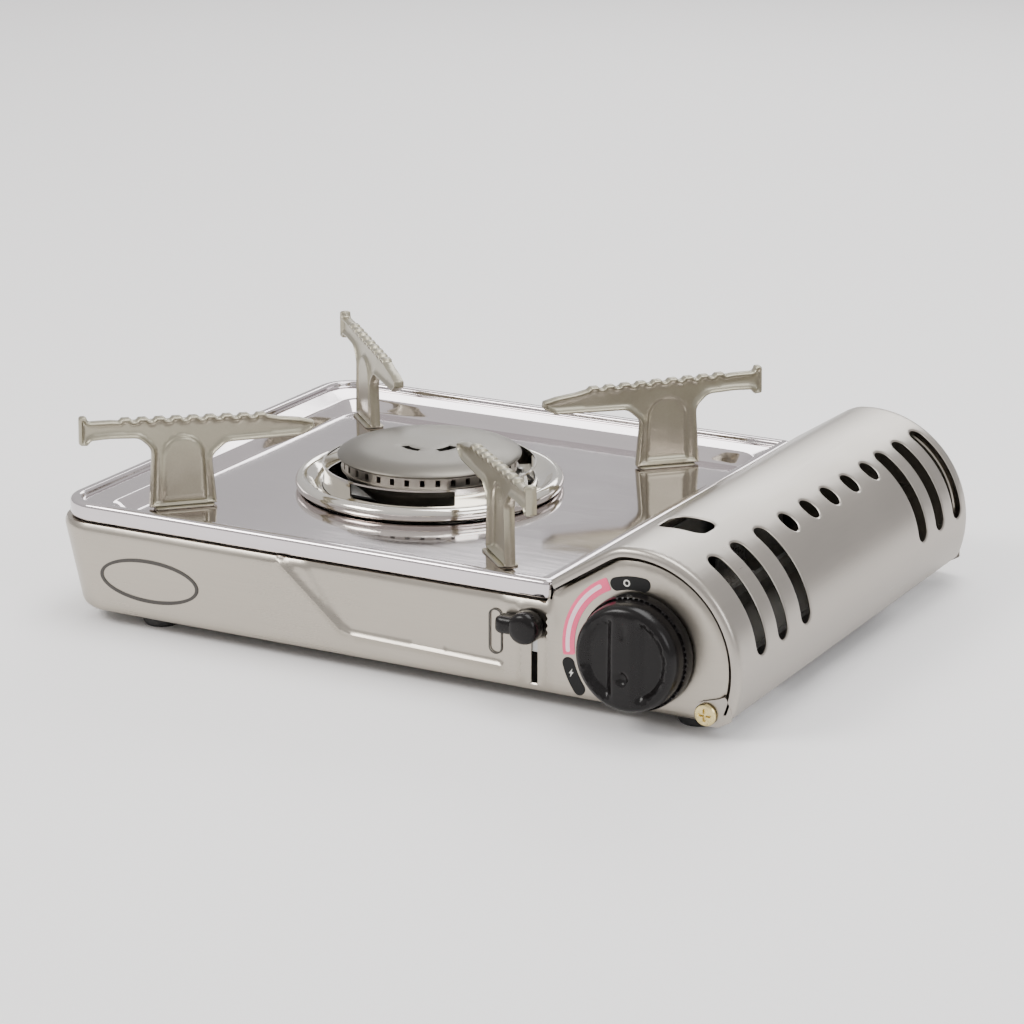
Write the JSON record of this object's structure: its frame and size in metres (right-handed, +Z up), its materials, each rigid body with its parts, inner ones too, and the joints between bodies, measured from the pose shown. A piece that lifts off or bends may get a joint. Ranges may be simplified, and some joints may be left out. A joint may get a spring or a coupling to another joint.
{
  "type": "camping stove",
  "caption": "Portable gas camping stove with a round burner, four pan supports, a gas knob, a cartridge lever and a hinged lid over the cartridge bay.",
  "frame": {"origin": "on the ground under the centre of the whole outline", "axes": "+X to the right along the front, +Y from the front to the back, +Z up; the knob faces -Y"},
  "size_m": [0.343, 0.2702, 0.0925],
  "materials": {
    "case_steel": "satin stainless sheet",
    "deck_steel": "bright polished stainless sheet",
    "lid_steel": "satin stainless sheet",
    "support_nickel": "warm satin plating",
    "drip_chrome": "bright",
    "burner_zinc": "satin grey",
    "zinc_plate": "zinc plated",
    "aluminium": "plain",
    "brass": "satin",
    "yellow_zinc": "yellow zinc plating",
    "black_plastic": "moulded, semi gloss",
    "white_plastic": "moulded",
    "wire_red": "insulation",
    "ceramic": "glazed white",
    "rubber": "matt",
    "mark_pink": "printed film",
    "mark_black": "printed film",
    "mark_grey": "embossed and inked"
  },
  "bodies": {
    "stove_body": {"lower_case": "case_steel", "bay_tray": "case_steel", "bay_partition": "zinc_plate", "heat_panel": "aluminium", "cartridge_rails": "zinc_plate", "regulator_bracket": "zinc_plate", "regulator_body": "zinc_plate", "regulator_diaphragm": "rubber", "regulator_cap": "zinc_plate", "inlet_seal": "rubber", "notch_guide": "zinc_plate", "gas_tube": "brass", "gas_jet": "brass", "mixing_tube": "aluminium", "burner_bracket": "zinc_plate", "burner_bowl": "burner_zinc", "port_ring": "burner_zinc", "burner_cap": "burner_zinc", "burner_collar": "lid_steel", "drip_ring": "drip_chrome", "piezo_igniter": "black_plastic", "ignition_wire": "wire_red", "electrode_bracket": "zinc_plate", "electrode_ceramic": "ceramic", "electrode_tip": "zinc_plate", "top_plate": "deck_steel", "pan_support_1": "support_nickel", "pan_support_2": "support_nickel", "pan_support_3": "support_nickel", "pan_support_4": "support_nickel", "support_rivets": "zinc_plate", "hinge_screws": "yellow_zinc", "dial_arc": "mark_pink", "off_mark": "mark_black", "light_mark": "mark_black", "lever_mark": "mark_grey", "badge": "mark_grey", "case_screws": "zinc_plate", "foot_1": "rubber", "foot_2": "rubber", "foot_3": "rubber", "foot_4": "rubber", "foot_screws": "zinc_plate"},
    "lid_body": {"lid": "lid_steel"},
    "knob_body": {"gas_knob": "black_plastic", "knob_spindle": "zinc_plate", "igniter_cam": "white_plastic"},
    "plunger_body": {"igniter_plunger": "white_plastic"},
    "lever_body": {"lever_plate": "zinc_plate", "lever_knob": "black_plastic"},
    "clamp_body": {"cartridge_clamp": "zinc_plate"}
  },
  "joints": [
    {"name": "lid_hinge", "type": "hinge", "parent": "stove_body", "child": "lid_body", "pos_m": [0.157, 0, 0.0108], "axis": [0, 1, 0], "range_deg": [0, 68]},
    {"name": "knob_turn", "type": "hinge", "parent": "stove_body", "child": "knob_body", "pos_m": [0.126, -0.1191, 0.033], "axis": [0, -1, 0], "range_deg": [0, 118]},
    {"name": "igniter_press", "type": "slide", "parent": "stove_body", "child": "plunger_body", "axis": [-1, 0, 0], "range_m": [0, 0.0041]},
    {"name": "lever_slide", "type": "slide", "parent": "stove_body", "child": "lever_body", "axis": [0, 0, -1], "range_m": [0, 0.016]},
    {"name": "clamp_slide", "type": "slide", "parent": "stove_body", "child": "clamp_body", "axis": [0, -1, 0], "range_m": [0, 0.0049]}
  ],
  "couplings": [
    {"joint": "igniter_press", "follows": "knob_turn", "m_per_rad": 0.00194},
    {"joint": "clamp_slide", "follows": "lever_slide", "ratio": 0.3}
  ]
}
